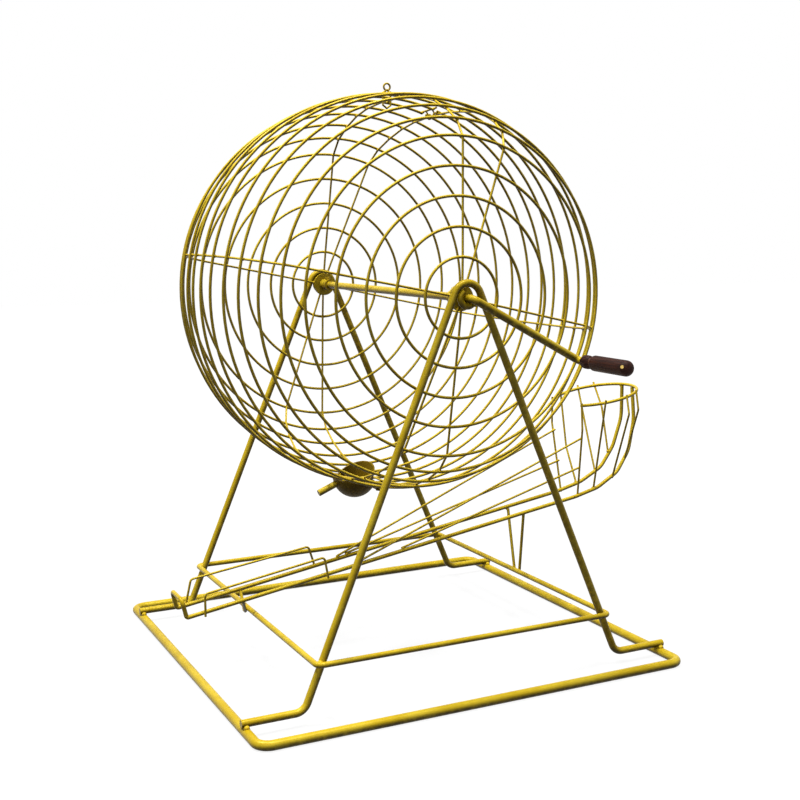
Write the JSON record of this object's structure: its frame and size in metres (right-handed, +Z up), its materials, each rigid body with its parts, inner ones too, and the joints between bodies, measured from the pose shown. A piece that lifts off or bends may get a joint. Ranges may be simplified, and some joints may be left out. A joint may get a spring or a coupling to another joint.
{
  "type": "lottery machine",
  "caption": "Hand-cranked wire ball cage on two bent-rod frames, with a release cup, a filling door, a catcher basket and a sloping ball chute.",
  "frame": {"origin": "centre of the square of base rods, on the floor", "axes": "+Z up, +X along the front base rod towards the catcher basket, +Y from the crank side to the back; the cage turns about a line parallel to Y"},
  "size_m": [0.611, 0.5573, 0.6529],
  "materials": {
    "gold_paint": "metallic yellow gold paint on steel wire and rod",
    "weld_paint": "gold paint over rough weld beads and screw heads",
    "cup_paint": "gold paint on sheet steel, a little darker and duller than the wires",
    "dark_wood": "dark red-brown varnished turned wood",
    "brass_nail": "plain bright brass nail head"
  },
  "bodies": {
    "stand": {"base_loop": "gold_paint", "front_frame": "gold_paint", "back_frame": "gold_paint", "mid_frame": "gold_paint", "front_bearing": "gold_paint", "back_bearing": "gold_paint", "frame_welds": "weld_paint", "chute_rail_front": "gold_paint", "chute_rail_back": "gold_paint", "chute_end_stop": "gold_paint", "chute_guard_front": "gold_paint", "chute_guard_back": "gold_paint", "chute_saddle": "gold_paint", "chute_prop": "gold_paint", "catcher_rim": "gold_paint", "catcher_ribs_front": "gold_paint", "catcher_ribs_back": "gold_paint", "side_guides_front": "gold_paint", "side_guides_back": "gold_paint"},
    "cage": {"crank": "gold_paint", "front_hub": "gold_paint", "back_hub": "gold_paint", "hub_screws": "weld_paint", "front_face_rings": "gold_paint", "back_face_rings": "gold_paint", "rim_rings_edge": "gold_paint", "rim_rings_two": "gold_paint", "rim_rings_three": "gold_paint", "rim_rings_four": "gold_paint", "rim_rings_five": "gold_paint", "rim_rings_middle": "gold_paint", "rib_door_left": "gold_paint", "rib_door_right": "gold_paint", "rib_right": "gold_paint", "rib_bottom_right": "gold_paint", "rib_bottom_left": "gold_paint", "rib_left": "gold_paint", "latch_bar": "gold_paint", "cup_plate": "cup_paint", "cup_scoop": "cup_paint", "cup_hinge_pin": "gold_paint"},
    "grip": {"grip": "dark_wood", "grip_nail": "brass_nail"},
    "door": {"door_arcs": "gold_paint", "door_bars": "gold_paint", "door_tongue": "gold_paint"},
    "latch": {"latch_loop": "gold_paint", "latch_eye": "gold_paint"},
    "release_cup": {"cup_bowl": "cup_paint", "cup_lever": "gold_paint"}
  },
  "joints": [
    {"name": "cage_turn", "type": "hinge", "parent": "stand", "child": "cage", "pos_m": [0, 0, 0.4147], "axis": [0, 1, 0], "continuous": true},
    {"name": "grip_spin", "type": "hinge", "parent": "cage", "child": "grip", "pos_m": [0.12762, -0.265, 0.34483], "axis": [0, -1, 0], "continuous": true},
    {"name": "door_open", "type": "hinge", "parent": "cage", "child": "door", "pos_m": [0.0792, 0.01441, 0.62102], "axis": [-0.0251, 0.9975, -0.0654], "range_deg": [0, 90]},
    {"name": "latch_slide", "type": "slide", "parent": "cage", "child": "latch", "axis": [0, 1, 0], "range_m": [0, 0.007]},
    {"name": "cup_open", "type": "hinge", "parent": "cage", "child": "release_cup", "pos_m": [-0.02113, -0.0145, 0.18723], "axis": [0, -1, 0], "range_deg": [0, 30]}
  ]
}
